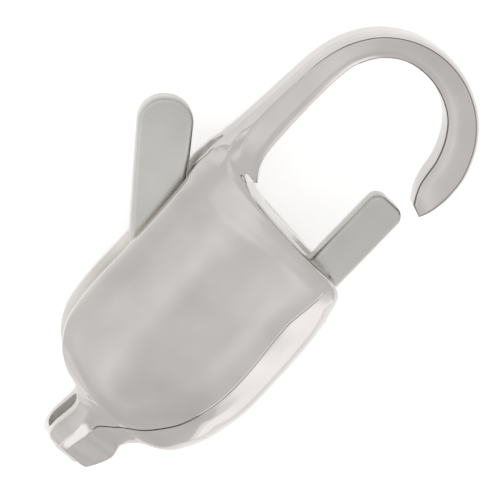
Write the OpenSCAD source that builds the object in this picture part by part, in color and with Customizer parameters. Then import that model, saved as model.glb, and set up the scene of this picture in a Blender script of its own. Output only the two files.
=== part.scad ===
// Lobster clasp: a puffed hollow body with its hook and tail eye in one piece,
// a flat tongue that is thumb lever and gate in one, and the pin it turns on.
// Millimetres. The clasp lies on its broad side; X runs from the tail eye to
// the hook, Y towards the thumb lever, Z up.

/* [Overall] */
// Length from the tail end to the outside of the hook
clasp_length = 16.0; // [14:0.1:19]
// Width across the body, without the lever
body_width = 6.0; // [5.2:0.1:7]
// Thickness of the puffed body over both domes
body_depth = 3.3; // [3.0:0.1:4]
// Thickness of the cast wall
wall = 0.44; // [0.35:0.01:0.5]

/* [Tail eye] */
// Length of the eye opening along the clasp
eye_length = 1.05; // [0.8:0.05:1.2]

/* [Tongue] */
// Free play between the flat tongue and each wall
side_play = 0.12; // [0.08:0.01:0.16]
// Width of the bevel round the edges of the tongue
tongue_bevel = 0.1; // [0.04:0.01:0.12]
// Width of the gate that closes the hook
gate_width = 1.14; // [0.9:0.02:1.2]
// Gap between the gate at rest and the floor of the hollow
gate_play = 0.08; // [0.05:0.01:0.12]
// Width of the thumb lever
lever_width = 1.5; // [1.2:0.05:1.7]

/* [Pin] */
// Diameter of the hidden pivot pin
pin_diameter = 0.8; // [0.6:0.05:1.0]
// How deep the pin sits in each wall
pin_seat = 0.2; // [0.12:0.01:0.25]
// Running clearance between the pin and the bore of the tongue
pin_clearance = 0.04; // [0.02:0.01:0.06]

/* [Hidden] */
// One sixteenth of the length, half the width and half the thickness
lx = clasp_length / 16;
hw = body_width / 2;
hz = body_depth / 2;

// Ribs of the body, from the tail end to the start of the hook's bend. Each
// rib runs from the slot side to the spine side.
// Columns: 0 x and 1 y of the slot end, 2 x and 3 y of the spine end (x in
// sixteenths of the length from the tail, y in half widths), 4 height at the
// slot edge, 5 place of the rim line, 6 its height, 7 height that the crown
// bulges to (the domes are flat where it passes 1), 8 place of the crease,
// 9 its height, 10 height at the spine (heights in half thicknesses, places
// as shares of the rib).
body_ribs = [
    [ 0.00, 0.21,   0.03, -0.18,  0.38, 0.36, 0.41, 0.41, 0.44, 0.41, 0.34],
    [ 0.13, 0.28,   0.15, -0.25,  0.51, 0.36, 0.53, 0.53, 0.44, 0.53, 0.48],
    [ 0.40, 0.32,   0.40, -0.30,  0.56, 0.36, 0.58, 0.58, 0.44, 0.58, 0.54],
    [ 0.75, 0.34,   0.73, -0.34,  0.56, 0.36, 0.60, 0.60, 0.44, 0.60, 0.55],
    [ 1.05, 0.34,   0.98, -0.36,  0.56, 0.36, 0.61, 0.61, 0.44, 0.61, 0.55],
    [ 1.35, 0.33,   1.25, -0.35,  0.56, 0.35, 0.62, 0.63, 0.46, 0.62, 0.54],
    [ 1.60, 0.33,   1.47, -0.34,  0.56, 0.28, 0.62, 0.66, 0.54, 0.64, 0.53],
    [ 1.77, 0.35,   1.65, -0.37,  0.56, 0.19, 0.61, 0.70, 0.62, 0.65, 0.51],
    [ 1.89, 0.40,   1.80, -0.44,  0.56, 0.14, 0.61, 0.74, 0.65, 0.66, 0.48],
    [ 2.01, 0.48,   1.95, -0.53,  0.56, 0.13, 0.62, 0.79, 0.66, 0.67, 0.44],
    [ 2.15, 0.60,   2.11, -0.64,  0.56, 0.12, 0.63, 0.84, 0.69, 0.68, 0.40],
    [ 2.40, 0.74,   2.35, -0.74,  0.56, 0.11, 0.65, 0.89, 0.72, 0.69, 0.36],
    [ 2.75, 0.85,   2.70, -0.82,  0.56, 0.10, 0.66, 0.93, 0.75, 0.70, 0.32],
    [ 3.25, 0.94,   3.25, -0.91,  0.56, 0.10, 0.67, 0.96, 0.77, 0.70, 0.28],
    [ 3.85, 0.98,   3.85, -0.96,  0.56, 0.09, 0.68, 1.00, 0.79, 0.70, 0.24],
    [ 4.65, 1.00,   4.65, -0.99,  0.56, 0.09, 0.68, 1.03, 0.80, 0.70, 0.21],
    [ 5.65, 1.00,   5.65, -1.00,  0.56, 0.09, 0.68, 1.05, 0.81, 0.70, 0.19],
    [ 6.65, 1.01,   6.65, -1.00,  0.56, 0.09, 0.68, 1.05, 0.81, 0.70, 0.19],
    [ 7.45, 1.02,   7.45, -0.98,  0.56, 0.09, 0.68, 1.05, 0.81, 0.70, 0.19],
    [ 8.05, 1.03,   8.15, -0.94,  0.56, 0.09, 0.68, 1.04, 0.82, 0.69, 0.30],
    [ 8.45, 1.04,   8.60, -0.89,  0.54, 0.09, 0.67, 1.01, 0.83, 0.68, 0.38],
    [ 8.70, 1.06,   8.90, -0.82,  0.50, 0.10, 0.66, 0.97, 0.85, 0.67, 0.43],
    [ 8.93, 1.07,   9.09, -0.73,  0.46, 0.11, 0.65, 0.93, 0.87, 0.65, 0.49],
    [ 9.17, 1.07,   9.17, -0.60,  0.43, 0.12, 0.65, 0.89, 0.89, 0.63, 0.53],
    [ 9.40, 1.06,   9.20, -0.40,  0.41, 0.13, 0.64, 0.83, 0.91, 0.62, 0.56],
    [ 9.58, 1.06,   9.26, -0.13,  0.39, 0.14, 0.63, 0.80, 0.93, 0.61, 0.56],
    [ 9.74, 1.05,   9.32,  0.13,  0.37, 0.15, 0.62, 0.76, 0.93, 0.60, 0.56],
    [ 9.88, 1.04,   9.42,  0.34,  0.36, 0.15, 0.60, 0.71, 0.86, 0.59, 0.54],
    [10.02, 1.03,   9.60,  0.46,  0.34, 0.15, 0.57, 0.65, 0.68, 0.58, 0.50],
    [10.20, 1.03,   9.92,  0.56,  0.31, 0.13, 0.51, 0.59, 0.50, 0.56, 0.45],
    [10.45, 1.02,  10.25,  0.62,  0.27, 0.10, 0.45, 0.53, 0.36, 0.54, 0.41],
    [10.85, 1.01,  10.75,  0.65,  0.24, 0.07, 0.42, 0.49, 0.25, 0.53, 0.38],
    [11.65, 0.99,  11.65,  0.66,  0.22, 0.05, 0.40, 0.47, 0.18, 0.51, 0.37],
    [12.55, 0.97,  12.60,  0.66,  0.22, 0.05, 0.39, 0.46, 0.16, 0.50, 0.37]
];

// The hook's bend: an arc of ribs round one centre.
// Columns: 0 angle, 1 outer and 2 inner radius in sixteenths of the length,
// 3 height at the outside, 4 height of the ridge, 5 height at the inside
// (in half thicknesses).
bend_share = 13.21;
bend_ribs = [
    [  84, 2.84, 1.96, 0.20, 0.50, 0.37],
    [  65, 2.82, 2.03, 0.20, 0.49, 0.37],
    [  45, 2.83, 2.09, 0.20, 0.48, 0.36],
    [  25, 2.83, 2.10, 0.20, 0.48, 0.36],
    [   5, 2.83, 2.03, 0.20, 0.47, 0.36],
    [ -15, 2.83, 1.96, 0.20, 0.47, 0.36],
    [ -35, 2.83, 1.91, 0.20, 0.47, 0.36],
    [ -55, 2.83, 1.84, 0.20, 0.46, 0.35],
    [ -75, 2.84, 1.82, 0.20, 0.45, 0.34],
    [ -90, 2.85, 1.84, 0.19, 0.43, 0.33],
    [-100, 2.86, 1.94, 0.18, 0.40, 0.31],
    [-107, 2.86, 2.12, 0.17, 0.36, 0.29],
    [-112, 2.84, 2.36, 0.15, 0.30, 0.25]
];

ribs_table = concat(body_ribs, [for (r = bend_ribs)
    [bend_share + r[1] * cos(r[0]), r[1] * sin(r[0]) / 3,
     bend_share + r[2] * cos(r[0]), r[2] * sin(r[0]) / 3,
     r[3], 0.05, r[3] + (r[4] - r[3]) * 0.62, r[3] + (r[4] - r[3]) * 0.87,
     0.15, r[4], r[5]]]);

// A smooth curve through the rows: the row at place u
function spline(rows, u) =
    let (n = len(rows), i = min(n - 2, floor(u)), f = u - i,
         a = rows[max(0, i - 1)], b = rows[i],
         c = rows[i + 1], d = rows[min(n - 1, i + 2)])
    b + f * (c - a) / 2 + f * f * (a - 2.5 * b + 2 * c - d / 2)
      + f * f * f * ((d - a) / 2 + 1.5 * (b - c));

// Number of ribs put in between two rows
rib_steps = 2;
row_count = len(ribs_table) - 1;
ribs = [for (i = [0 : row_count * rib_steps]) spline(ribs_table, i / rib_steps)];

// Height of the dome at share s of the way from the rim to the crease
function dome(r, s) = min(1, r[6] + (r[9] - r[6]) * s
    + (r[7] - (r[6] + r[9]) / 2) * (1 - pow(abs(2 * s - 1), 2.2)));

// The profile of a rib: pairs of place and height, from slot side to spine side
dome_steps = 6;
flank_steps = 4;
function profile(r) = concat(
    [[0, r[4]], [r[5] * 0.35, r[4] + (r[6] - r[4]) * 0.62]],
    [for (k = [0 : dome_steps]) let (s = k / dome_steps)
        [r[5] + (r[8] - r[5]) * s,
         dome(r, s)]],
    [for (k = [1 : flank_steps]) let (s = k / flank_steps)
        [r[8] + (1 - r[8]) * s,
         r[9] + (r[10] - r[9]) * (0.4 * s + 0.6 * s * s)]]);

// A place on a rib, in millimetres
function on_rib(r, t, z) =
    [(r[0] + (r[2] - r[0]) * t) * lx, (r[1] + (r[3] - r[1]) * t) * hw, z];

// A ring of points: the near side from slot to spine, then the far side back
function ring(pts) = concat(pts,
    [for (k = [len(pts) - 1 : -1 : 0]) [pts[k][0], pts[k][1], -pts[k][2]]]);

// A closed skin through rings of equal length
module skin(rings) {
    n = len(rings[0]);
    h = n / 2;
    m = len(rings) - 1;
    points = [for (g = rings) for (p = g) p];
    sides = [for (i = [0 : m - 1]) for (k = [0 : n - 1])
        let (a = i * n + k, b = i * n + (k + 1) % n, c = b + n, d = a + n)
        each [[a, c, b], [a, d, c]]];
    first = [for (k = [0 : h - 2])
        let (a = k, b = k + 1, c = n - 2 - k, d = n - 1 - k)
        each [[a, b, c], [a, c, d]]];
    last = [for (k = [0 : h - 2])
        let (o = m * n, a = o + k, b = o + k + 1, c = o + n - 2 - k, d = o + n - 1 - k)
        each [[a, c, b], [a, d, c]]];
    polyhedron(points, concat(sides, first, last), convexity = 8);
}

shell_rings = [for (r = ribs)
    ring([for (q = profile(r)) on_rib(r, q[0], q[1] * hz)])];

// The hollow between the two walls: the same ribs, one wall further in
slot_half = 0.56 * hz - wall;
hollow_least = slot_half + wall * 0.05;
hollow_first_step = 9;
hollow_last_step = 28;
hollow_ribs = [for (i = [hollow_first_step * rib_steps : hollow_last_step * rib_steps]) ribs[i]];
function inner_profile(r) =
    let (span = norm([(r[2] - r[0]) * lx, (r[3] - r[1]) * hw]),
         out = -0.4 * hw / span, end = 1 - wall * 1.2 / span, o = profile(r),
         tk = min(r[8], end - 0.12))
    concat([for (t = [out, 0]) [t, max(wall * 0.23, r[4] * hz - wall)]],
        [for (k = [1 : dome_steps + 2]) let (t = r[8] > tk ? o[k][0] * tk / r[8] : o[k][0])
            [t, max(hollow_least, o[k][1] * hz - wall * (k == 1 ? 1 : 1.04))]],
        [[tk + (end - tk) * 0.5,
          max(hollow_least, (o[dome_steps + 2][1] * hz - wall) * 0.5 + slot_half * 0.5)],
         [end, hollow_least]]);
hollow_rings = [for (r = hollow_ribs)
    ring([for (q = inner_profile(r)) on_rib(r, q[0], q[1])])];

// The pivot of the tongue, on rib 16 to 17 and seven tenths of the way down
pivot_rib = spline(ribs_table, 16.4);
pivot_share = 0.7;
pivot = on_rib(pivot_rib, pivot_share, 0);
pin_half = dome(pivot_rib, (pivot_share - pivot_rib[5]) / (pivot_rib[8] - pivot_rib[5])) * hz
    - wall * 1.04 + pin_seat;
pin_gap = pin_clearance * 0.75;

// The slot at the front and round its corner, in plan
front_slot = [[7.7 * lx, -0.66 * hw], [8.35 * lx, -1.1 * hw], [10.6 * lx, -1.1 * hw],
              [10.6 * lx, 0.585 * hw], [9.0 * lx, 0.585 * hw]];

// The eye: end wall, then an opening with rounded corners right through
eye_start = 0.45 * lx;
eye_round = min(eye_length * 0.3, slot_half * 0.6);
eye_outline = [for (c = [[1, 1, 0], [-1, 1, 90], [-1, -1, 180], [1, -1, 270]])
    for (k = [0 : 4]) let (w = c[2] + k * 22.5)
        [eye_start + eye_length / 2 + c[0] * (eye_length / 2 - eye_round)
           + eye_round * cos(w),
         c[1] * (slot_half - eye_round) + eye_round * sin(w)]];

// The flat tongue: lever, hidden web and gate, in plan
tongue_half = slot_half - side_play;
gate_low = -0.98 * hw + wall * 1.2 + gate_play;
gate_y = gate_low + gate_width / 2;
gate_tip = 11.89 * lx;
gate_corner = gate_width * 0.3;
lever_tip = [9.2 * lx, 1.54 * hw];
lever_root = [6.35 * lx, 0.78 * hw];
web_round = min(hw / 3, pivot[1] - gate_low);

// A flat plate through round corners, with bevelled edges.
// Each corner is its x, y and radius.
module plate(corners) {
    hull() {
        for (c = corners) translate([c[0], c[1], -tongue_half + tongue_bevel])
            cylinder(r = c[2], h = 2 * (tongue_half - tongue_bevel), $fn = 36);
        for (c = corners) translate([c[0], c[1], -tongue_half])
            cylinder(r = c[2] - tongue_bevel, h = 2 * tongue_half, $fn = 36);
    }
}

// The floor and the middle of the assembly frame
shell_points = [for (g = shell_rings) each g];
top = max([for (p = shell_points) p[2]]);
low_x = min([for (p = shell_points) p[0]]);
high_x = max([for (p = shell_points) p[0]]);
low_y = min([for (p = shell_points) p[1]]);
high_y = lever_tip[1] + lever_width * 0.53;
module placed() translate([-(low_x + high_x) / 2, -(low_y + high_y) / 2, top]) children();

// One piece: hollow body, hook and tail eye
module clasp_body() {
    color([0.80, 0.79, 0.77]) placed() difference() {
        skin(shell_rings);
        skin(hollow_rings);
        translate([0, 0, -slot_half]) linear_extrude(2 * slot_half) polygon(front_slot);
        translate([0, 2 * hw, 0]) rotate([90, 0, 0])
            linear_extrude(4 * hw) polygon(eye_outline);
        translate([pivot[0], pivot[1], -pin_half - pin_gap])
            cylinder(r = pin_diameter / 2 + pin_gap, h = 2 * (pin_half + pin_gap), $fn = 48);
    }
}

// The flat tongue: thumb lever outside, gate in front, web on the pin inside
module gate_lever() {
    color([0.70, 0.71, 0.70]) placed() difference() {
        union() {
            plate([[lever_tip[0], lever_tip[1], lever_width * 0.53],
                   [lever_root[0], lever_root[1], lever_width * 0.48]]);
            plate([[lever_root[0], lever_root[1], lever_width * 0.48],
                   [pivot[0], pivot[1], web_round],
                   [8.6 * lx, gate_y, gate_width / 2]]);
            plate([[8.4 * lx, gate_y, gate_width / 2],
                   [gate_tip - gate_corner, gate_y + gate_width / 2 - gate_corner, gate_corner],
                   [gate_tip - gate_corner * 1.1, gate_y - gate_width / 2 + gate_corner,
                    gate_corner]]);
        }
        translate([pivot[0], pivot[1], -2 * tongue_half])
            cylinder(r = pin_diameter / 2 + pin_clearance, h = 4 * tongue_half, $fn = 48);
    }
}

// The hidden pin, in a blind seat in each wall
module pivot_pin() {
    color([0.62, 0.62, 0.62]) placed() translate([pivot[0], pivot[1], -pin_half])
        cylinder(r = pin_diameter / 2, h = 2 * pin_half, $fn = 48);
}

clasp_body();
gate_lever();
pivot_pin();
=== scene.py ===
import math
import bmesh
import bpy
from mathutils import Matrix, Quaternion, Vector


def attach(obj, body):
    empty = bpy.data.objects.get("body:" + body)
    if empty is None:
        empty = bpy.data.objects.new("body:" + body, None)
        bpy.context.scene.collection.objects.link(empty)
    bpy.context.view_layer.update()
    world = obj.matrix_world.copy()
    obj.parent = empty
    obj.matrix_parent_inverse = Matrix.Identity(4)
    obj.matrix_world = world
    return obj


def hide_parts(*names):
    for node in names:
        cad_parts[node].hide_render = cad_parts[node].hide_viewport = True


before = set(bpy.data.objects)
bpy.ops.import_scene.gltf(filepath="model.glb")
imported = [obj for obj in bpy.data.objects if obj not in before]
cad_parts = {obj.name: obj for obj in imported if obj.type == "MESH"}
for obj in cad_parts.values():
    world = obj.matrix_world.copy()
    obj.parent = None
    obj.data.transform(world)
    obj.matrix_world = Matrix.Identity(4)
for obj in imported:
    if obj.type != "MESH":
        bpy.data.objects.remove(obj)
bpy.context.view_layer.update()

# The body: hollow pod, hook and tail eye, cast in one piece of white metal and
# tumbled and buffed to a mirror outside. Two domed walls mirror each other
# about the middle plane and meet along the spine; the inside is left as cast.
mm = 0.001
clasp_length, body_width, body_depth, wall = 16.0, 6.0, 3.3, 0.44
sixteenth, half_width, half_depth = clasp_length / 16, body_width / 2, body_depth / 2
slot_half = 0.56 * half_depth - wall
# the middle of the clasp's box, in mm from the tail and from the body's axis
middle_x, middle_y = 8.0146, 1.2047

# Ribs across the body, from the tail end to the start of the hook's bend.
# Columns: x and y of the slot end, x and y of the spine end (sixteenths of the
# length, half widths), height at the slot edge, place and height of the rim,
# height that the crown bulges to, place and height of the crease, height at
# the spine (half thicknesses; places are shares of the rib).
body_ribs = [
    [0.14, 0.17, 0.16, -0.14, 0.40, 0.14, 0.46, 0.43, 0.46, 0.41, 0.36],
    [0.19, 0.25, 0.24, -0.19, 0.50, 0.20, 0.58, 0.52, 0.46, 0.48, 0.46],
    [0.36, 0.30, 0.46, -0.23, 0.53, 0.25, 0.63, 0.555, 0.47, 0.50, 0.49],
    [0.70, 0.32, 0.80, -0.28, 0.54, 0.26, 0.65, 0.565, 0.47, 0.50, 0.50],
    [1.02, 0.31, 1.08, -0.31, 0.55, 0.26, 0.65, 0.57, 0.47, 0.505, 0.50],
    [1.30, 0.30, 1.30, -0.30, 0.56, 0.24, 0.65, 0.59, 0.46, 0.53, 0.51],
    [1.56, 0.30, 1.50, -0.29, 0.56, 0.20, 0.65, 0.63, 0.48, 0.60, 0.51],
    [1.74, 0.33, 1.68, -0.32, 0.56, 0.16, 0.65, 0.68, 0.56, 0.65, 0.50],
    [1.88, 0.38, 1.85, -0.38, 0.56, 0.13, 0.655, 0.73, 0.62, 0.69, 0.48],
    [2.02, 0.47, 1.99, -0.46, 0.56, 0.12, 0.67, 0.78, 0.65, 0.72, 0.45],
    [2.15, 0.60, 2.12, -0.59, 0.56, 0.11, 0.685, 0.83, 0.67, 0.74, 0.41],
    [2.40, 0.74, 2.32, -0.72, 0.56, 0.11, 0.705, 0.88, 0.71, 0.755, 0.37],
    [2.75, 0.85, 2.66, -0.82, 0.56, 0.10, 0.715, 0.92, 0.75, 0.77, 0.33],
    [3.25, 0.94, 3.19, -0.91, 0.56, 0.10, 0.72, 0.95, 0.79, 0.79, 0.29],
    [3.85, 0.98, 3.85, -0.97, 0.56, 0.09, 0.73, 0.98, 0.81, 0.805, 0.25],
    [4.65, 1.00, 4.65, -1.01, 0.56, 0.09, 0.74, 0.99, 0.82, 0.815, 0.21],
    [5.65, 1.00, 5.65, -1.01, 0.56, 0.09, 0.74, 1.00, 0.82, 0.82, 0.19],
    [6.65, 1.01, 6.65, -1.00, 0.56, 0.09, 0.74, 1.00, 0.81, 0.82, 0.19],
    [7.45, 1.02, 7.45, -0.98, 0.56, 0.09, 0.74, 0.99, 0.81, 0.82, 0.19],
    [8.05, 1.03, 8.15, -0.94, 0.56, 0.09, 0.73, 0.97, 0.84, 0.81, 0.28],
    [8.45, 1.04, 8.60, -0.89, 0.54, 0.09, 0.72, 0.955, 0.87, 0.79, 0.37],
    [8.70, 1.06, 8.90, -0.82, 0.50, 0.10, 0.70, 0.92, 0.90, 0.76, 0.45],
    [8.93, 1.07, 9.09, -0.73, 0.46, 0.11, 0.68, 0.89, 0.94, 0.72, 0.52],
    [9.17, 1.07, 9.17, -0.60, 0.43, 0.12, 0.66, 0.86, 0.97, 0.68, 0.60],
    [9.40, 1.06, 9.20, -0.40, 0.41, 0.13, 0.64, 0.83, 0.97, 0.65, 0.61],
    [9.58, 1.06, 9.26, -0.13, 0.39, 0.14, 0.62, 0.76, 0.96, 0.64, 0.60],
    [9.74, 1.05, 9.32, 0.13, 0.37, 0.15, 0.60, 0.69, 0.80, 0.64, 0.57],
    [9.88, 1.04, 9.42, 0.34, 0.36, 0.15, 0.57, 0.625, 0.57, 0.61, 0.51],
    [10.02, 1.03, 9.60, 0.46, 0.34, 0.15, 0.54, 0.59, 0.475, 0.59, 0.455],
    [10.20, 1.03, 9.92, 0.56, 0.31, 0.13, 0.49, 0.55, 0.41, 0.57, 0.435],
    [10.45, 1.02, 10.25, 0.62, 0.27, 0.10, 0.45, 0.515, 0.33, 0.55, 0.415],
    [10.85, 1.01, 10.75, 0.65, 0.24, 0.07, 0.42, 0.49, 0.21, 0.53, 0.39],
    [11.65, 0.99, 11.65, 0.66, 0.22, 0.05, 0.40, 0.47, 0.14, 0.51, 0.37],
    [12.55, 0.97, 12.60, 0.66, 0.22, 0.05, 0.39, 0.46, 0.14, 0.50, 0.37],
]
# The hook's bend, ribs round one centre. Columns: angle, outer and inner
# radius (sixteenths), height outside, of the ridge and inside.
bend_centre = 13.21
bend_ribs = [
    [84, 2.84, 1.96, 0.20, 0.50, 0.37], [65, 2.82, 2.03, 0.20, 0.49, 0.37],
    [45, 2.83, 2.09, 0.20, 0.48, 0.36], [25, 2.83, 2.10, 0.20, 0.48, 0.36],
    [5, 2.83, 2.03, 0.20, 0.47, 0.36], [-15, 2.83, 1.96, 0.20, 0.47, 0.36],
    [-35, 2.83, 1.91, 0.20, 0.47, 0.36], [-55, 2.83, 1.84, 0.20, 0.46, 0.35],
    [-75, 2.84, 1.82, 0.20, 0.45, 0.34], [-90, 2.85, 1.84, 0.19, 0.43, 0.33],
    [-100, 2.86, 1.94, 0.18, 0.40, 0.31], [-107, 2.86, 2.12, 0.17, 0.36, 0.29],
    [-112, 2.84, 2.36, 0.15, 0.30, 0.25],
]
for angle, outer, inner, side, ridge, inside in bend_ribs:
    c, s = math.cos(math.radians(angle)), math.sin(math.radians(angle))
    body_ribs.append([
        bend_centre + outer * c, outer * s / 3, bend_centre + inner * c, inner * s / 3,
        side, 0.05, side + (ridge - side) * 0.62, side + (ridge - side) * 0.87,
        0.15, ridge, inside])


def rib_between(rows, u):
    """The rib at place u of a smooth curve through the rows."""
    i = min(len(rows) - 2, int(u))
    f = u - i
    a, b, c, d = (rows[min(max(k, 0), len(rows) - 1)] for k in (i - 1, i, i + 1, i + 2))
    return [q + f * (r - p) / 2 + f * f * (p - 2.5 * q + 2 * r - s / 2)
            + f ** 3 * ((s - p) / 2 + 1.5 * (q - r)) for p, q, r, s in zip(a, b, c, d)]


def bend_in(p, corner, q, steps):
    """Points from p to q that round off the corner."""
    return [tuple((1 - w) ** 2 * a + 2 * w * (1 - w) * b + w * w * c
                  for a, b, c in zip(p, corner, q))
            for w in (k / steps for k in range(steps + 1))]


def span_of(rib):
    """The length of a rib in plan, in mm."""
    return math.hypot((rib[2] - rib[0]) * sixteenth, (rib[3] - rib[1]) * half_width)


def near(along, peak, reach):
    """A share that is 1 at the peak rib and falls to 0 over reach ribs to either side."""
    return max(0.0, 1 - abs(along - peak) / reach)


def stretch(along, start=-9, rise=1, stop=99, fall=1):
    """A share that leaves 0 at the start rib, stays at 1, and is back at 0 at the stop rib."""
    return max(0.0, min(1.0, (along - start) / rise, (stop - along) / fall))


def dome_height(rib, s):
    """Height of the dome at share s between rim and crease, eased into its flat crown."""
    rim_high, crown_high, crease_high = rib[6], rib[7], rib[9]
    bulge, ease, eased_from = 2.1, 0.02, 0.9
    h = rim_high + (crease_high - rim_high) * s \
        + (crown_high - (rim_high + crease_high) / 2) * (1 - abs(2 * s - 1) ** bulge)
    return 1 - ease * math.log1p(math.exp(min(40.0, (1 - h) / ease))) if h > eased_from else h


def outside(rib, along):
    """The outer profile of one wall: (place, height in mm) from slot edge to spine."""
    slot_high, rim_at, rim_high, _, crease_at, crease_high, spine_high = rib[4:]
    span, edge, least_flank = span_of(rib), 0.05, 0.11
    crease_at = min(crease_at, 1 - least_flank / span)
    # the crease's round, wider where the hook leaves the pod
    ridge = edge + 0.1 * near(along, 26.8, 1.8)
    rim = lambda s: (slot_high + (rim_high - slot_high) * (1.2 * s - 0.2 * s * s)) * half_depth
    dome = lambda s: (rim_at + (crease_at - rim_at) * s, dome_height(rib, s) * half_depth)
    # the flank falls evenly and then steeply, and fuller where the pod swells
    swell = near(along, 13.8, 2)
    even, steep = 0.58 - 0.22 * swell, 7 - 4 * swell
    flank = lambda s: half_depth * (
        crease_high + (spine_high - crease_high) * (even * s + (1 - even) * s ** steep))
    # the slot edge, broken to a small round by the tumbling
    lead = min(edge / span / rim_at, 0.6)
    pts = bend_in((0, rim(0) - edge), (0, rim(0)), (lead * rim_at, rim(lead)), 5)
    pts += [(rim_at * s, rim(s)) for s in (lead + (1 - lead) * k / 4 for k in range(1, 4))]
    # the dome, up to the scribed line along the crease of the pod and of the hook's bend
    tight = min(ridge / span, (crease_at - rim_at) * 0.3, (1 - crease_at) * 0.3)
    before, after = 1 - tight / (crease_at - rim_at), tight / (1 - crease_at)
    dome_steps, flank_steps = 24, 9
    pts += [dome(before * k / dome_steps) for k in range(dome_steps + 1)]
    line = max(0.07 * stretch(along, 4.7, 1.3, 15, 2), 0.03 * stretch(along, 10, 3, 21.5, 2),
               0.03 * stretch(along, 32, 3))
    here, peak = pts[-1], (crease_at, crease_high * half_depth)
    there = (crease_at + tight, flank(after))
    for w in (0.2, 0.5, 0.8, 1.0):
        t, h = ((1 - w) ** 2 * a + 2 * w * (1 - w) * b + w * w * c
                for a, b, c in zip(here, peak, there))
        pts.append((t, h - line if w == 0.5 else h))
    # the flank, with a shallow valley beside the inner edge of the hook's arm, and the
    # turn at the spine, wide on the pod and narrow elsewhere
    low = max(0.0, min(1.0, (0.45 - spine_high) / 0.12)) if along < 26 else 0.0
    turn = edge + (0.85 * spine_high * half_depth - edge) * low
    stop = max(after + 0.1, 1 - turn / (span * (1 - crease_at)))
    valley = 0.022 * stretch(along, 28, 1.5, 35.5, 2)
    for k in range(1, flank_steps + 1):
        s = after + (stop - after) * k / flank_steps
        pts.append((crease_at + (1 - crease_at) * s,
                    flank(s) - (valley if k == flank_steps - 1 else 0)))
    foot = flank(1) - min(turn, flank(1) * 0.85)
    return pts + bend_in(pts[-1], (1, flank(1)), (1, foot), 6)[1:]


def on_rib(rib, place, height):
    """A place on a rib in metres, in the assembly's own frame; the tail's end is cut aslant."""
    aslant, aslant_to = 0.2, 1.4
    x = (rib[0] + (rib[2] - rib[0]) * place) * sixteenth
    x += aslant * height * max(0, 1 - x / aslant_to) ** 2 - middle_x
    y = (rib[1] + (rib[3] - rib[1]) * place) * half_width - middle_y
    return Vector((x, y, half_depth + height)) * mm


def ring_at(u, profile):
    """A ring at place u: one wall's profile and its mirror image in the other wall."""
    rib = rib_between(body_ribs, u)
    points = profile(rib, u)
    return [on_rib(rib, t, z) for t, z in points] + \
        [on_rib(rib, t, -z) for t, z in reversed(points)]


def into_scene(name, data):
    """Puts a mesh, a lamp or a camera into the scene as an object."""
    thing = bpy.data.objects.new(name, data)
    bpy.context.scene.collection.objects.link(thing)
    return thing


def skin(name, rings):
    """A closed mesh through rings: near side one way, far side back, ends in strips."""
    n, mesh = len(rings[0]), bpy.data.meshes.new(name)
    faces = [(i * n + k, (i + 1) * n + k, (i + 1) * n + (k + 1) % n, i * n + (k + 1) % n)
             for i in range(len(rings) - 1) for k in range(n)]
    last = (len(rings) - 1) * n
    for k in range(n // 2 - 1):
        faces.append((k, k + 1, n - 2 - k, n - 1 - k))
        faces.append((last + k, last + n - 1 - k, last + n - 2 - k, last + k + 1))
    mesh.from_pydata([p for ring in rings for p in ring], [], faces)
    work = bmesh.new()
    work.from_mesh(mesh)
    bmesh.ops.recalc_face_normals(work, faces=work.faces)
    work.to_mesh(mesh)
    work.free()
    return into_scene(name, mesh)


# six rings from rib to rib, and 18 where the ridge swings across to the front slot
fine, every, swing_from, swing_to = 18, 3, 25, 29
places = [k / fine for k in range((len(body_ribs) - 1) * fine + 1)
          if k % every == 0 or swing_from * fine < k < swing_to * fine]
rings = [ring_at(u, outside) for u in places]
# a small round closes each end
end_round, end_rise = 0.05, 0.04
for end, next_in in ((0, 1), (-1, -2)):
    centre = sum(rings[end], Vector()) / len(rings[end])
    inner = sum(rings[next_in], Vector()) / len(rings[next_in])
    out = (centre - inner).normalized() * end_rise * mm
    cap = [p + (centre - p).normalized() * end_round * mm + out for p in rings[end]]
    rings = [cap] + rings if end == 0 else rings + [cap]
outer_skin = skin("outer_skin", rings)
# marks the inner edges of the hook's bend, where a dark colour is painted as shade along the
# crease
unbuffed = outer_skin.data.attributes.new("unbuffed", "BOOLEAN", "FACE")
round_ring, crease_shade_from, crease_shade_strips = len(rings[0]), 35.0, 5
for face in outer_skin.data.polygons:
    i, k = divmod(face.index, round_ring)
    on_bend = 0 < i < len(places) and crease_shade_from < places[i - 1]
    unbuffed.data[face.index].value = \
        on_bend and 1 <= abs(k + 1 - round_ring // 2) <= crease_shade_strips


def inside(rib, along):
    """The hollow's profile: one wall further in, open on the slot side; only as high
    as the tongue needs towards the front, where the walls thicken."""
    slot_high, rim_at, _, _, crease_at, crease_high, _ = rib[4:]
    span = span_of(rib)
    end = 1 - wall * 1.2 / span - 0.4 * stretch(along, 20.5, 2, 28.5, 1.5)
    crease = min(crease_at, end - 0.12)
    least, thick = slot_half + wall * 0.05, stretch(along, 21, 1.5)
    # the lip at the slot edge flares open, less and less towards the front
    lip = max(wall * 0.23, slot_high * half_depth - wall)
    flare, taper = min(0.32 / span, rim_at * 0.9), stretch(along, stop=28, fall=3)
    pts = [(t * flare, lip + z * taper) for t, z in (
        (-4, 0.15), (0, 0.15), (0.2, 0.10), (0.4, 0.06), (0.7, 0.02), (1, 0))]
    pts += [(rim_at + (crease - rim_at) * s, least + (1 - thick) * max(
        0.0, dome_height(rib, s) * half_depth - wall * 1.04 - least))
            for s in (k / 12 for k in range(13))]
    pts.append(((crease + end) / 2, least + (1 - thick) * max(
        0.0, (crease_high * half_depth - wall + slot_half) / 2 - least)))
    return pts + [(end, least)]


hollow_from, hollow_to, mouth_from, mouth_to = 10, 28, 22.6, 28.5
hollow = skin("hollow", [ring_at(u, inside) for u in places if hollow_from <= u <= hollow_to])


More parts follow.
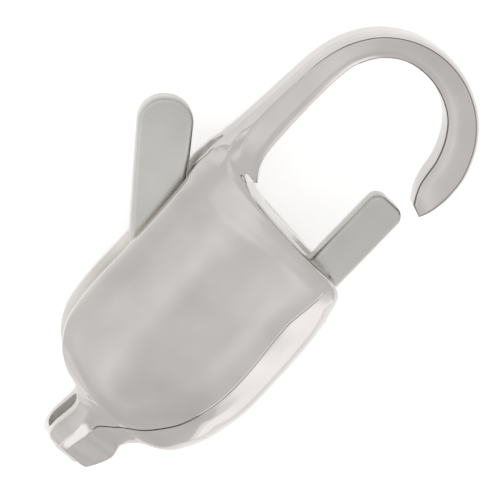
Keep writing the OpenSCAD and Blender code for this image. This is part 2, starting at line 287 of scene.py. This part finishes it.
def mouth(u):
    """A ring across the flare between the walls' inner lips at the front slot."""
    here, ahead = rib_between(body_ribs, u), rib_between(body_ribs, u + 0.2)
    x, y = here[2] * sixteenth, here[3] * half_width
    along = Vector((ahead[2] * sixteenth - x, ahead[3] * half_width - y)).normalized()
    root, trim = stretch(u, 27), 0.05 * stretch(u, mouth_from, 1.4, 27.2)
    # (distance out of the body, height) in mm: the near wall's lip, then the far wall's
    lips = [(d, 0.49 + high * (1 - root)) for d, high in (
        (-0.26, 0.01), (-0.18, 0.11), (-0.10, 0.21), (-0.03, 0.31), (0.04, 0.37), (0.1, 0.41))]
    lips += [(0.1, -1.3 + 0.8 * root), (-trim, -1.3 + 0.8 * root)]
    lips += [(d, -0.58 - deep * (1 - 0.5 * root)) for d, deep in (
        (-trim, 0.20), (-0.13, 0.155), (-0.20, 0.115), (-0.28, 0.07), (-0.42, 0.03),
        (-0.60, 0.01))]
    return [Vector((x + along.y * d - middle_x, y - along.x * d - middle_y, half_depth + z)) * mm
            for d, z in lips]


front_mouth = skin("front_mouth", [mouth(u) for u in places if mouth_from <= u <= mouth_to])


def prism(name, outline, low, high):
    """A straight-sided cutter from a plan outline in mm, heights from the middle plane."""
    mesh = bpy.data.meshes.new(name)
    n = len(outline)
    mesh.from_pydata([Vector((x - middle_x, y - middle_y, half_depth + z)) * mm
                      for z in (low, high) for x, y in outline], [],
                     [tuple(reversed(range(n))), tuple(range(n, 2 * n))]
                     + [(k, (k + 1) % n, n + (k + 1) % n, n + k) for k in range(n)])
    return into_scene(name, mesh)


# the slot that the gate swings into, and the notch in the near wall at the slot's end
front_slot = prism("front_slot", [
    (7.7, -1.98), (8.35, -3.3), (10.6, -3.3), (10.6, 1.3), (9.78, 1.5), (9.70, 2.6), (9.0, 2.6)],
    low=-slot_half, high=slot_half)
front_notch = prism("front_notch", [
    (9.33, -0.55), (9.7, -0.3), (9.95, 1.0), (9.80, 1.45), (9.73, 1.70), (9.79, 2.01),
    (9.75, 2.06), (9.65, 1.94), (9.53, 1.76), (9.44, 1.53), (9.395, 1.2), (9.36, 0.85),
    (9.32, 0.5), (9.285, 0.1)], low=0.3, high=2)


def linear(code):
    """An sRGB hex colour as linear red, green, blue and one."""
    parts = [int(code[k:k + 2], 16) / 255 for k in (0, 2, 4)]
    return [p / 12.92 if p <= 0.04045 else ((p + 0.055) / 1.055) ** 2.4 for p in parts] + [1.0]


def add_node(tree, kind, settings=None, **links):
    """Adds a node, sets its properties, and sets or links its inputs by name."""
    node = tree.nodes.new(kind)
    for key, value in (settings or {}).items():
        setattr(node, key, value)
    for key, value in links.items():
        key = key.replace("_", " ")
        socket = next(s for s in node.inputs if s.name == key and s.enabled)
        if isinstance(value, bpy.types.NodeSocket):
            tree.links.new(value, socket)
        else:
            socket.default_value = value
    return node


def metal(name, colour, roughness, spread, scratch, wave, cloud):
    """White metal, cloudy by a share of its colour, hazy by a spread of its roughness,
    slightly wavy from the wheel, and with hairlines that lie one way."""
    material = bpy.data.materials.new(name)
    material.use_nodes = True
    tree = material.node_tree
    shader = tree.nodes["Principled BSDF"]
    shader.inputs["Metallic"].default_value = 1.0
    where = add_node(tree, "ShaderNodeTexCoord").outputs["Object"]
    # clouds about 1.5 mm wide
    patches = add_node(tree, "ShaderNodeTexNoise", Vector=where, Scale=650.0, Detail=2.5)
    depth = add_node(tree, "ShaderNodeMapRange", Value=patches.outputs["Fac"], From_Min=0.3,
                     From_Max=0.7, To_Min=1 - cloud, To_Max=1 + cloud)
    tint = add_node(tree, "ShaderNodeVectorMath", {"operation": "SCALE"},
                    Vector=linear(colour)[:3], Scale=depth.outputs["Result"])
    tree.links.new(tint.outputs["Vector"], shader.inputs["Base Color"])
    # haze in spots about 1.1 mm wide
    haze = add_node(tree, "ShaderNodeTexNoise", Vector=where, Scale=900.0, Detail=3.0)
    gloss = add_node(tree, "ShaderNodeMapRange", Value=haze.outputs["Fac"], From_Min=0.35,
                     From_Max=0.65, To_Min=roughness - spread, To_Max=roughness + spread)
    tree.links.new(gloss.outputs["Result"], shader.inputs["Roughness"])
    # hairlines 0.07 mm apart; real ones are finer, and wouldn't show at all
    lean = add_node(tree, "ShaderNodeMapping", Vector=where, Rotation=(0, 0, math.radians(31)),
                    Scale=(600, 14000, 9000))
    hair = add_node(tree, "ShaderNodeTexNoise", Vector=lean.outputs["Vector"], Scale=1.0,
                    Detail=2.0)
    lines = add_node(tree, "ShaderNodeBump", Strength=scratch, Distance=0.00001,
                    Height=hair.outputs["Fac"])
    # waves about 2.4 mm from crest to crest
    slow = add_node(tree, "ShaderNodeTexNoise", Vector=where, Scale=420.0, Detail=1.0)
    broad = add_node(tree, "ShaderNodeBump", Strength=wave, Distance=0.00006,
                     Height=slow.outputs["Fac"], Normal=lines.outputs["Normal"])
    tree.links.new(broad.outputs["Normal"], shader.inputs["Normal"])
    return material


# the outside, buffed to a mirror with hardly any haze
bright = metal("buffed_white_metal", "BFBBB9", 0.13, 0.03, 0.05, 0.2, 0.05)
# the inside, as it left the mould: matt and uneven, its colour painted pale as light in the
# shaded hollow
cast_finish_painted_light = metal("as_cast_white_metal", "D8D5D0", 0.55, 0.06, 0.4, 0.4, 0.1)
# the edges inside the hook's bend: painted shade, a dark satin grey that stands in for the shade
# along the crease
crease_shade_finish = metal("unbuffed_white_metal", "6F6D6A", 0.35, 0.06, 0.3, 0.3, 0.12)
# the lips of the front slot: a painted highlight, a near-white colour with a soft shine that
# stands in for the light they catch
lip_highlight_finish = metal("rubbed_white_metal_edge", "E6E4E1", 0.22, 0.05, 0.2, 0.1, 0.06)


def new_tree(name, inputs):
    """An empty Geometry Nodes tree with named inputs; gives the tree and its input sockets."""
    tree = bpy.data.node_groups.new(name, "GeometryNodeTree")
    for label, kind in inputs:
        tree.interface.new_socket(label, in_out="INPUT", socket_type="NodeSocket" + kind)
    tree.interface.new_socket("Geometry", in_out="OUTPUT", socket_type="NodeSocketGeometry")
    return tree, tree.nodes.new("NodeGroupInput").outputs


def hand_over(tree, geometry, material):
    """Ends a tree: instances made real, edges over the sharp angle kept crisp, finish set."""
    angle = add_node(tree, "GeometryNodeInputMeshEdgeAngle").outputs["Unsigned Angle"]
    crisp = add_node(tree, "FunctionNodeCompare", {"operation": "GREATER_THAN"},
                     A=angle, B=math.radians(38)).outputs["Result"]
    real = add_node(tree, "GeometryNodeRealizeInstances", Geometry=geometry)
    soft = add_node(tree, "GeometryNodeSetShadeSmooth", {"domain": "FACE"},
                    Geometry=real.outputs["Geometry"], Shade_Smooth=True)
    edges = add_node(tree, "GeometryNodeSetShadeSmooth", {"domain": "EDGE"},
                     Geometry=soft.outputs["Geometry"], Selection=crisp, Shade_Smooth=False)
    last = edges.outputs["Geometry"]
    if material is not None:
        last = add_node(tree, "GeometryNodeSetMaterial", Geometry=last,
                        Material=material).outputs["Geometry"]
    tree.links.new(last, tree.nodes.new("NodeGroupOutput").inputs["Geometry"])


def thicken(tree, curve, thickness):
    """A closed plate from an outline drawn on the ground plane, by thickness upwards."""
    flat = add_node(tree, "GeometryNodeFillCurve", {"mode": "NGONS"}, Curve=curve).outputs["Mesh"]
    up = add_node(tree, "ShaderNodeCombineXYZ", Z=thickness).outputs["Vector"]
    top = add_node(tree, "GeometryNodeExtrudeMesh", Mesh=flat, Offset=up,
                   Offset_Scale=1.0, Individual=False).outputs["Mesh"]
    under = add_node(tree, "GeometryNodeFlipFaces", Mesh=flat).outputs["Mesh"]
    both = tree.nodes.new("GeometryNodeJoinGeometry")
    tree.links.new(top, both.inputs["Geometry"])
    tree.links.new(under, both.inputs["Geometry"])
    return add_node(tree, "GeometryNodeMergeByDistance", Geometry=both.outputs["Geometry"],
                    Distance=1e-7).outputs["Geometry"]


def built(name, start, tree, **sizes):
    """Runs a tree on an object and keeps the result as a plain mesh at the origin."""
    run = start.modifiers.new(name, "NODES")
    run.node_group = tree
    for item in tree.interface.items_tree:
        key = item.name.replace(" ", "_")
        if item.in_out == "INPUT" and key in sizes:
            run[item.identifier] = sizes[key]
    ready = start.evaluated_get(bpy.context.evaluated_depsgraph_get())
    mesh = bpy.data.meshes.new_from_object(ready)
    mesh.name = name
    start.modifiers.remove(run)
    return into_scene(name, mesh)


# the tree that carves the body: the notch, the hollow, the front slot and its flared
# lips, the eye and the pin's seats, each cutter with the finish that its cut has
round_sides, eye_cut = 48, 4.0
carve, given = new_tree("carve_body", [
    ("Geometry", "Geometry"), ("Hollow", "Object"), ("Front slot", "Object"),
    ("Front mouth", "Object"), ("Front notch", "Object"), ("Polish", "Material"),
    ("Cast", "Material"), ("Rubbed", "Material"), ("Dull", "Material"), ("Eye length", "Float"),
    ("Eye height", "Float"), ("Eye corner", "Float"), ("Eye place", "Vector"),
    ("Pin radius", "Float"), ("Pin length", "Float"), ("Pin place", "Vector")])
node = lambda kind, settings=None, **links: add_node(carve, kind, settings, **links)
outline = node("GeometryNodeCurvePrimitiveQuadrilateral", {"mode": "RECTANGLE"},
               Width=given["Eye length"], Height=given["Eye height"]).outputs["Curve"]
outline = node("GeometryNodeFilletCurve", {"mode": "POLY"}, Curve=outline, Count=10,
               Radius=given["Eye corner"]).outputs["Curve"]
eye = node("GeometryNodeTransform", Geometry=thicken(carve, outline, eye_cut * mm),
           Rotation=(math.pi / 2, 0, 0), Translation=given["Eye place"]).outputs["Geometry"]
pin = node("GeometryNodeMeshCylinder", Vertices=round_sides, Radius=given["Pin radius"],
           Depth=given["Pin length"]).outputs["Mesh"]
pin = node("GeometryNodeTransform", Geometry=pin,
           Translation=given["Pin place"]).outputs["Geometry"]
body = node("GeometryNodeSetMaterial", Geometry=given["Geometry"],
            Material=given["Polish"]).outputs["Geometry"]
# the marked edges of the hook's bend take the dark painted crease shade
marked = node("GeometryNodeInputNamedAttribute", {"data_type": "BOOLEAN"}, Name="unbuffed")
body = node("GeometryNodeSetMaterial", Geometry=body, Selection=marked.outputs["Attribute"],
            Material=given["Dull"]).outputs["Geometry"]
# the front mouth's lips take the near-white painted highlight
for cutter, finish in (("Front notch", "Polish"), ("Hollow", "Cast"), ("Front slot", "Cast"),
                       ("Front mouth", "Rubbed"), (eye, "Cast"), (pin, "Cast")):
    if isinstance(cutter, str):
        cutter = node("GeometryNodeObjectInfo", {"transform_space": "ORIGINAL"},
                      Object=given[cutter]).outputs["Geometry"]
    cutter = node("GeometryNodeSetMaterial", Geometry=cutter,
                  Material=given[finish]).outputs["Geometry"]
    body = node("GeometryNodeMeshBoolean", {"operation": "DIFFERENCE", "solver": "EXACT"},
                Mesh_1=body, Mesh_2=cutter).outputs["Mesh"]
hand_over(carve, body, None)

eye_length, eye_start, eye_corner = 1.15, 0.45, 0.29
pivot_rib, pivot_share = 16.4, 0.7
pivot = on_rib(rib_between(body_ribs, pivot_rib), pivot_share, 0)
pin_half, pin_radius, seat_play = 1.2228, 0.4, 0.03
# the hollow, slot, eye and seats take the matt cast finish, whose pale colour is painted light in
# their shade
clasp_body = built(
    "clasp_body_cast", outer_skin, carve, Hollow=hollow, Front_slot=front_slot,
    Front_mouth=front_mouth, Front_notch=front_notch,
    Polish=bright, Cast=cast_finish_painted_light, Rubbed=lip_highlight_finish, Dull=crease_shade_finish,
    Eye_length=eye_length * mm, Eye_height=2 * slot_half * mm, Eye_corner=eye_corner * mm,
    Eye_place=((eye_start + eye_length / 2 - middle_x) * mm, (eye_cut / 2 - middle_y) * mm,
               half_depth * mm),
    Pin_radius=pin_radius * mm, Pin_length=2 * (pin_half + seat_play) * mm,
    Pin_place=tuple(pivot))
for used in (outer_skin, hollow, front_slot, front_mouth, front_notch):
    bpy.data.objects.remove(used)
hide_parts("clasp_body")
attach(clasp_body, "body")

# The tongue: thumb lever outside the slot, gate in front, web on the pin in
# between. One plate stamped from sheet, its edges tumbled to a narrow bevel.
tongue_half, bevel, bore_radius = 0.364, 0.15, 0.44
gate_low, gate_high, gate_end, tip_corner = -2.332, -1.192, 11.89, 0.342
pivot_x, pivot_y = pivot.x / mm + middle_x, pivot.y / mm + middle_y
# the rounds that its outline goes round: x, y and radius in mm; the lever's end is
# flatter than a round, so its front and its end have a reach of their own
lever_tip, lever_root = (9.2, 4.62, 0.77), (6.35, 2.34, 0.72)
front_reach, end_reach, end_corner = 0.83, 0.735, 0.74
web, gate_root = (pivot_x, pivot_y, 1.0), (8.6, (gate_low + gate_high) / 2, 0.57)
under_corner, inner_corner = 0.55, 0.15


def edge_line(a, b):
    """The straight edge that touches two rounds on the right of the way from a to b."""
    dx, dy, gap = b[0] - a[0], b[1] - a[1], b[2] - a[2]
    far = math.hypot(dx, dy)
    turn = math.atan2(dy, dx) - math.pi / 2 - math.asin(gap / far)
    nx, ny = math.cos(turn), math.sin(turn)
    return nx, ny, nx * a[0] + ny * a[1] + a[2]


def corner(first, second, radius):
    """Where two edges meet, and the radius of the round there."""
    (a, b, c), (d, e, f) = first, second
    det = a * e - b * d
    return (c * e - b * f) / det, (a * f - c * d) / det, radius


low, tip_edge, high = (0, -1, -gate_low), (1, 0, gate_end), (0, 1, gate_high)
under, web_front = edge_line(web, gate_root), edge_line(gate_root, lever_root)
lever_front = edge_line(lever_root, lever_tip[:2] + (front_reach,))
lever_back = edge_line(lever_tip, lever_root)
web_back = edge_line(lever_root, web)
aim = math.atan2(lever_tip[1] - lever_root[1], lever_tip[0] - lever_root[0])
lever_end = (math.cos(aim), math.sin(aim),
             math.cos(aim) * lever_tip[0] + math.sin(aim) * lever_tip[1] + end_reach)
tongue_corners = [
    corner(under, low, under_corner),
    corner(low, tip_edge, tip_corner), corner(tip_edge, high, tip_corner),
    corner(high, web_front, inner_corner), corner(web_front, lever_front, inner_corner),
    corner(lever_front, lever_end, end_corner), corner(lever_end, lever_back, end_corner),
    corner(lever_back, web_back, lever_root[2]), corner(web_back, under, web[2])]
count = len(tongue_corners)
sketch = bpy.data.meshes.new("tongue_sketch")
sketch.from_pydata([((x - middle_x) * mm, (y - middle_y) * mm, 0) for x, y, r in tongue_corners],
                   [(k, (k + 1) % count) for k in range(count)], [])
rounds = sketch.attributes.new("corner_radius", "FLOAT", "POINT")
for k, (x, y, r) in enumerate(tongue_corners):
    rounds.data[k].value = r * mm
tongue_sketch = into_scene("tongue_sketch", sketch)

half_edge = bend_in((bevel, tongue_half), (0, tongue_half), (0, tongue_half - bevel), 5)
half_edge += [(x, -z) for x, z in reversed(half_edge)]
section = bpy.data.meshes.new("edge_section")
section.from_pydata([((bevel - x) * mm, z * mm, 0) for x, z in half_edge],
                    [(k, k + 1) for k in range(len(half_edge) - 1)], [])
edge_section = into_scene("edge_section", section)

# the tree that stamps the plate: the outline drawn in by the bevel makes the two
# faces, the rounded edge is swept round it, and the pin's bore is cut through
weld, bore_cut = 0.000002, 2.0
stamp, given = new_tree("stamp_tongue", [
    ("Geometry", "Geometry"), ("Edge section", "Object"), ("Bevel", "Float"),
    ("Thickness", "Float"), ("Middle height", "Float"), ("Bore radius", "Float"),
    ("Bore place", "Vector"), ("Finish", "Material")])
node = lambda kind, settings=None, **links: add_node(stamp, kind, settings, **links)
line = node("GeometryNodeMeshToCurve", Mesh=given["Geometry"]).outputs["Curve"]
radius = node("GeometryNodeInputNamedAttribute", {"data_type": "FLOAT"}, Name="corner_radius")
line = node("GeometryNodeFilletCurve", {"mode": "POLY"}, Curve=line, Count=18,
            Radius=radius.outputs["Attribute"]).outputs["Curve"]
inward = node("ShaderNodeMath", {"operation": "MULTIPLY"}, Value=given["Bevel"])
inward.inputs[1].default_value = -1.0
inward = node("ShaderNodeVectorMath", {"operation": "SCALE"}, Scale=inward.outputs["Value"],
              Vector=node("GeometryNodeInputNormal").outputs["Normal"]).outputs["Vector"]
line = node("GeometryNodeSetPosition", Geometry=line, Offset=inward).outputs["Geometry"]
shape = node("GeometryNodeObjectInfo", Object=given["Edge section"]).outputs["Geometry"]
shape = node("GeometryNodeMeshToCurve", Mesh=shape).outputs["Curve"]
rim = node("GeometryNodeCurveToMesh", Curve=line, Profile_Curve=shape).outputs["Mesh"]
rim = node("GeometryNodeFlipFaces", Mesh=rim).outputs["Mesh"]
flat = node("GeometryNodeFillCurve", {"mode": "NGONS"}, Curve=line).outputs["Mesh"]
join = stamp.nodes.new("GeometryNodeJoinGeometry")
stamp.links.new(rim, join.inputs["Geometry"])
for share, turned in ((0.5, False), (-0.5, True)):
    height = node("ShaderNodeMath", {"operation": "MULTIPLY"}, Value=given["Thickness"])
    height.inputs[1].default_value = share
    place = node("ShaderNodeCombineXYZ", Z=height.outputs["Value"]).outputs["Vector"]
    face = node("GeometryNodeTransform", Geometry=flat, Translation=place).outputs["Geometry"]
    face = node("GeometryNodeFlipFaces", Mesh=face).outputs["Mesh"] if turned else face
    stamp.links.new(face, join.inputs["Geometry"])
plate = node("GeometryNodeMergeByDistance", Geometry=join.outputs["Geometry"], Distance=weld)
bore = node("GeometryNodeMeshCylinder", Vertices=round_sides, Radius=given["Bore radius"],
            Depth=bore_cut * mm).outputs["Mesh"]
bore = node("GeometryNodeTransform", Geometry=bore,
            Translation=given["Bore place"]).outputs["Geometry"]
plate = node("GeometryNodeMeshBoolean", {"operation": "DIFFERENCE", "solver": "EXACT"},
             Mesh_1=plate.outputs["Geometry"], Mesh_2=bore).outputs["Mesh"]
lift = node("ShaderNodeCombineXYZ", Z=given["Middle height"]).outputs["Vector"]
plate = node("GeometryNodeTransform", Geometry=plate, Translation=lift)
hand_over(stamp, plate.outputs["Geometry"], given["Finish"])

# tumbled sheet, a little softer than the buffed body; painted shade along x keeps
# the lever light and makes the gate darker
plate_metal = metal("tumbled_white_metal_sheet", "BEBCB8", 0.22, 0.04, 0.1, 0.2, 0.04)
coat = plate_metal.node_tree
along_x = add_node(coat, "ShaderNodeSeparateXYZ",
                   Vector=add_node(coat, "ShaderNodeTexCoord").outputs["Object"]).outputs["X"]
# painted shade: the colour goes from 1.02 to 0.87 of itself between 0.6 and 2.2 mm along x
painted_shade_along_x = add_node(coat, "ShaderNodeMapRange", Value=along_x, From_Min=0.6 * mm,
                From_Max=2.2 * mm, To_Min=1.02, To_Max=0.87)
colour_in = coat.nodes["Principled BSDF"].inputs["Base Color"]
plate_colour_shaded = add_node(coat, "ShaderNodeVectorMath", {"operation": "SCALE"},
                  Vector=colour_in.links[0].from_socket, Scale=painted_shade_along_x.outputs["Result"])
coat.links.new(plate_colour_shaded.outputs["Vector"], colour_in)
tongue = built("thumb_tongue", tongue_sketch, stamp, Edge_section=edge_section,
               Bevel=bevel * mm, Thickness=2 * tongue_half * mm, Middle_height=half_depth * mm,
               Bore_radius=bore_radius * mm, Bore_place=(pivot.x, pivot.y, 0),
               Finish=plate_metal)
for used in (tongue_sketch, edge_section):
    bpy.data.objects.remove(used)
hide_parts("gate_lever")
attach(tongue, "tongue")

# The pin: a length of drawn steel wire, pressed into a blind seat in each
# wall. It is hidden in the body, so the plain solid stays and gets its finish,
# a grey satin with the die's fine lines.
drawn_steel = metal("drawn_steel_wire", "A9A8A6", 0.3, 0.05, 0.4, 0.1, 0.02)
pin_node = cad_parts["pivot_pin"]
pin_node.data.materials.clear()
pin_node.data.materials.append(drawn_steel)

# The table: a plain white matt sheet under soft studio light. The metal mirrors a
# pale sky, brightest in a ring and greyer inside it, with a few broad pale and grey
# patches, and two low softboxes.
reach = 0.4
floor_mesh = bpy.data.meshes.new("floor")
floor_mesh.from_pydata([(-reach, -reach, 0), (reach, -reach, 0), (reach, reach, 0),
                        (-reach, reach, 0)], [], [(0, 1, 2, 3)])
paper = bpy.data.materials.new("matt_white_sheet")
paper.use_nodes = True
sheet = paper.node_tree.nodes["Principled BSDF"]
sheet.inputs["Base Color"].default_value = linear("F4F4F3")
sheet.inputs["Roughness"].default_value = 0.9
sheet.inputs["Specular IOR Level"].default_value = 0.1
sheet.inputs["Emission Color"].default_value = linear("FFFFFF")
sheet.inputs["Emission Strength"].default_value = 0.4
floor_mesh.materials.append(paper)
floor = into_scene("floor", floor_mesh)

world = bpy.data.worlds.new("soft_studio")
bpy.context.scene.world = world
world.use_nodes = True
sky = world.node_tree
up = add_node(sky, "ShaderNodeTexCoord").outputs["Generated"]
# greys by the share of the way up to the middle of the sky
sky_middle = (-0.13, -0.22, 0.966)
across = add_node(sky, "ShaderNodeVectorMath", {"operation": "DOT_PRODUCT"}, Vector=up)
across.inputs[1].default_value = sky_middle
ramp = add_node(sky, "ShaderNodeValToRGB", Fac=across.outputs["Value"])
for place, grey in ((0.0, 0.93), (0.5, 0.95), (0.80, 0.97), (0.88, 1.02), (0.93, 1.07),
                    (0.98, 0.94), (1.0, 0.87)):
    stop = ramp.color_ramp.elements.new(place)
    stop.color = (grey, grey, grey, 1)
ramp.color_ramp.elements.remove(ramp.color_ramp.elements[0])
ramp.color_ramp.elements.remove(ramp.color_ramp.elements[-1])
# broad patches: the way to each, the cosines where it starts and is full, and what it
# adds to the sky there
strength = 1.0
for towards, start, full, gain in (
        ((0.0, 0.927, 0.375), 0.93, 0.995, 0.25), ((-0.61, -0.35, 0.707), 0.80, 0.97, -0.09),
        ((0.0, -0.45, 0.893), 0.955, 0.995, 0.13), ((-0.583, 0.694, 0.423), 0.85, 0.97, 0.12),
        ((-0.37, -0.58, 0.725), 0.965, 0.995, -0.07),
        ((-0.321, 0.883, 0.342), 0.965, 0.998, 0.22),
        ((-0.925, 0.337, 0.174), 0.95, 0.995, 0.3), ((0.155, 0.11, 0.982), 0.95, 0.995, 0.19),
        ((-0.4415, 0.2347, 0.866), 0.90, 0.99, 0.13)):
    lean = add_node(sky, "ShaderNodeVectorMath", {"operation": "DOT_PRODUCT"}, Vector=up)
    lean.inputs[1].default_value = towards
    glow = add_node(sky, "ShaderNodeMapRange", {"interpolation_type": "SMOOTHSTEP"},
                    Value=lean.outputs["Value"], From_Min=start, From_Max=full, To_Min=0.0,
                    To_Max=gain)
    total = add_node(sky, "ShaderNodeMath", {"operation": "ADD"})
    sky.links.new(glow.outputs["Result"], total.inputs[0])
    if isinstance(strength, float):
        total.inputs[1].default_value = strength
    else:
        sky.links.new(strength, total.inputs[1])
    strength = total.outputs["Value"]
sky.links.new(ramp.outputs["Color"], sky.nodes["Background"].inputs["Color"])
sky.links.new(strength, sky.nodes["Background"].inputs["Strength"])


def soft_box(name, azimuth, elevation, wide, high, lean, glow):
    """A softbox lamp 0.3 m away that looks at the clasp; its place, sizes and lean
    are angles in degrees, azimuth from +X towards +Y."""
    a, e, far = math.radians(azimuth), math.radians(elevation), 0.3
    lamp = bpy.data.lights.new(name, "AREA")
    lamp.shape = "RECTANGLE"
    lamp.size = 2 * far * math.tan(math.radians(wide / 2))
    lamp.size_y = 2 * far * math.tan(math.radians(high / 2))
    lamp.energy = glow * math.pi * lamp.size * lamp.size_y
    holder = into_scene(name, lamp)
    holder.location = far * Vector(
        (math.cos(a) * math.cos(e), math.sin(a) * math.cos(e), math.sin(e)))
    turn = holder.location.to_track_quat("Z", "Y") @ Quaternion((0, 0, 1), math.radians(lean))
    holder.rotation_euler = turn.to_euler()


soft_box("softbox_near", -98, 12, 34, 34, -25, 0.25)
soft_box("softbox_low", -101, 10, 42, 26, -25, 0.45)

# The camera: a long lens from high up on the thumb lever's side, as in the
# photograph, turned so that the clasp lies across the picture.
camera = into_scene("camera", bpy.data.cameras.new("camera"))
camera.data.sensor_width, camera.data.lens = 36.0, 250.0
camera.data.clip_start, camera.data.clip_end = 0.005, 2.0
right, upward = (0.6888, -0.7212, 0.0743), (0.7133, 0.6556, -0.2479)
back = (0.1301, 0.2237, 0.9659)
aim_at, distance = Vector((0.000096, -0.000997, 0.00165)), 0.0992
camera.location = aim_at + Vector(back) * distance
camera.rotation_mode = "QUATERNION"
facing = Matrix((right, upward, back)).transposed()
camera.rotation_quaternion = facing.to_quaternion()
bpy.context.scene.camera = camera
bpy.context.scene.view_settings.view_transform = "Standard"
